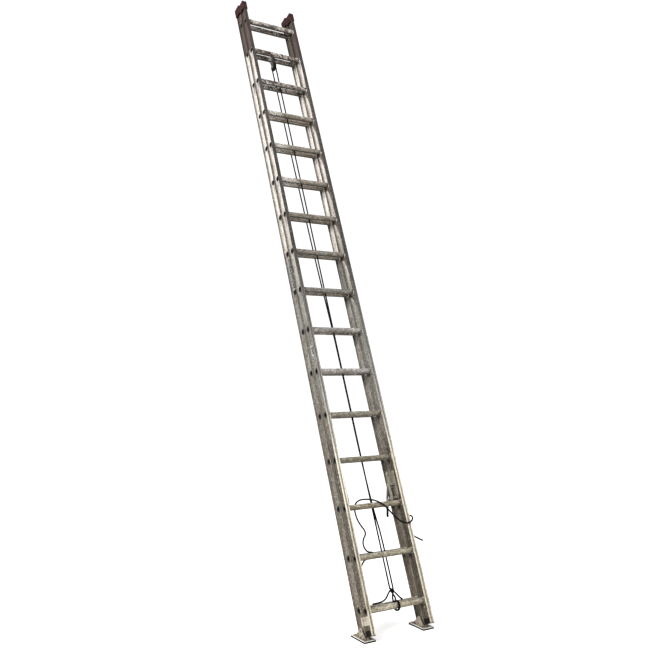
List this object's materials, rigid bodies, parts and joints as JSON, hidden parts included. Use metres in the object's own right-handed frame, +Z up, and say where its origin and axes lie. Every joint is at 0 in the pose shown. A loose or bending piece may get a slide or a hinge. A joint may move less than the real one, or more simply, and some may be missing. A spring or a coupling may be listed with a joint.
{
  "type": "extension ladder",
  "caption": "Two-section aluminium extension ladder with I-beam rails, ribbed rungs, rung locks, pulley and rope, and swivelling rubber-soled shoes, shown closed and leaning.",
  "frame": {"origin": "on the floor, midway between the two shoes", "axes": "+Z up, +X along the rungs to the right as seen by a climber, +Y from the climber towards the wall; the rails lean 22 degrees from +Z towards +Y"},
  "size_m": [0.5667, 1.9733, 4.5856],
  "materials": {
    "rail_aluminium": "weathered extrusion, bright where rubbed, grey-olive grime",
    "rung_aluminium": "ribbed extrusion, worn bright on the tread",
    "cap_plastic": "dark maroon-brown, dull",
    "foot_plastic": "black, dull",
    "guide_aluminium": "mill finish",
    "zinc_steel": "zinc plated",
    "lock_steel": "plated, dull",
    "lock_casting": "plated casting, grey",
    "finger_plastic": "black",
    "black_steel": "black paint",
    "wheel_plastic": "black, smooth",
    "rope": "black braid",
    "sole_rubber": "black, ribbed underside",
    "shoe_aluminium": "bright plate"
  },
  "bodies": {
    "base_section": {"base_rail_left": "rail_aluminium", "base_rail_right": "rail_aluminium", "base_rung_01": "rung_aluminium", "base_rung_02": "rung_aluminium", "base_rung_03": "rung_aluminium", "base_rung_04": "rung_aluminium", "base_rung_05": "rung_aluminium", "base_rung_06": "rung_aluminium", "base_rung_07": "rung_aluminium", "base_rung_08": "rung_aluminium", "base_rung_09": "rung_aluminium", "base_rung_10": "rung_aluminium", "base_rung_11": "rung_aluminium", "base_rung_12": "rung_aluminium", "base_rung_13": "rung_aluminium", "base_rung_14": "rung_aluminium", "base_rung_15": "rung_aluminium", "base_rung_16": "rung_aluminium", "base_top_caps": "cap_plastic", "base_guides": "guide_aluminium", "base_fasteners": "zinc_steel", "pulley_hanger": "black_steel", "pulley_axle": "zinc_steel", "rope_lift_strand": "rope", "rope_hand_line": "rope"},
    "fly_section": {"fly_rail_left": "rail_aluminium", "fly_rail_right": "rail_aluminium", "fly_rung_01": "rung_aluminium", "fly_rung_02": "rung_aluminium", "fly_rung_03": "rung_aluminium", "fly_rung_04": "rung_aluminium", "fly_rung_05": "rung_aluminium", "fly_rung_06": "rung_aluminium", "fly_rung_07": "rung_aluminium", "fly_rung_08": "rung_aluminium", "fly_rung_09": "rung_aluminium", "fly_rung_10": "rung_aluminium", "fly_rung_11": "rung_aluminium", "fly_rung_12": "rung_aluminium", "fly_rung_13": "rung_aluminium", "fly_rung_14": "rung_aluminium", "fly_rung_15": "rung_aluminium", "fly_rung_16": "rung_aluminium", "fly_top_caps": "cap_plastic", "fly_foot_caps": "foot_plastic", "fly_guides": "guide_aluminium", "fly_rivets": "zinc_steel", "lock_brackets": "lock_steel", "lock_springs": "zinc_steel", "rope_knot": "rope", "rope_loose": "rope"},
    "pulley": {"pulley_wheel": "wheel_plastic"},
    "shoe_left": {"shoe_left": "shoe_aluminium", "shoe_tread_left": "sole_rubber"},
    "shoe_right": {"shoe_right": "shoe_aluminium", "shoe_tread_right": "sole_rubber"},
    "lock_hook_left": {"lock_hook_left": "lock_casting"},
    "lock_hook_right": {"lock_hook_right": "lock_casting"},
    "lock_finger_left": {"lock_finger_left": "finger_plastic"},
    "lock_finger_right": {"lock_finger_right": "finger_plastic"}
  },
  "joints": [
    {"name": "fly_slide", "type": "slide", "parent": "base_section", "child": "fly_section", "axis": [0, 0.3746, 0.9272], "range_m": [0, 3.9624], "deforming": ["rope_lift_strand"]},
    {"name": "pulley_spin", "type": "hinge", "parent": "base_section", "child": "pulley", "pos_m": [0.004, 1.61538, 4.04874], "axis": [1, 0, 0], "range_deg": [-7900, 10]},
    {"name": "shoe_swivel_left", "type": "hinge", "parent": "base_section", "child": "shoe_left", "pos_m": [-0.217, 0, 0.05054], "axis": [1, 0, 0], "range_deg": [-15, 15]},
    {"name": "shoe_swivel_right", "type": "hinge", "parent": "base_section", "child": "shoe_right", "pos_m": [0.217, 0, 0.05054], "axis": [1, 0, 0], "range_deg": [-15, 15]},
    {"name": "lock_hook_left", "type": "hinge", "parent": "fly_section", "child": "lock_hook_left", "pos_m": [-0.184, 0.23387, 0.7602], "axis": [1, 0, 0], "range_deg": [0, 12], "stiffness_Nm_per_rad": 0.05, "springref_deg": -34.38},
    {"name": "lock_hook_right", "type": "hinge", "parent": "fly_section", "child": "lock_hook_right", "pos_m": [0.184, 0.23387, 0.7602], "axis": [1, 0, 0], "range_deg": [0, 12], "stiffness_Nm_per_rad": 0.05, "springref_deg": -34.38},
    {"name": "lock_finger_left", "type": "hinge", "parent": "lock_hook_left", "child": "lock_finger_left", "pos_m": [-0.184, 0.30293, 0.72691], "axis": [1, 0, 0], "range_deg": [0, 55]},
    {"name": "lock_finger_right", "type": "hinge", "parent": "lock_hook_right", "child": "lock_finger_right", "pos_m": [0.184, 0.30293, 0.72691], "axis": [1, 0, 0], "range_deg": [0, 55]}
  ],
  "couplings": [
    {"joint": "pulley_spin", "follows": "fly_slide", "rad_per_m": -34.483}
  ]
}
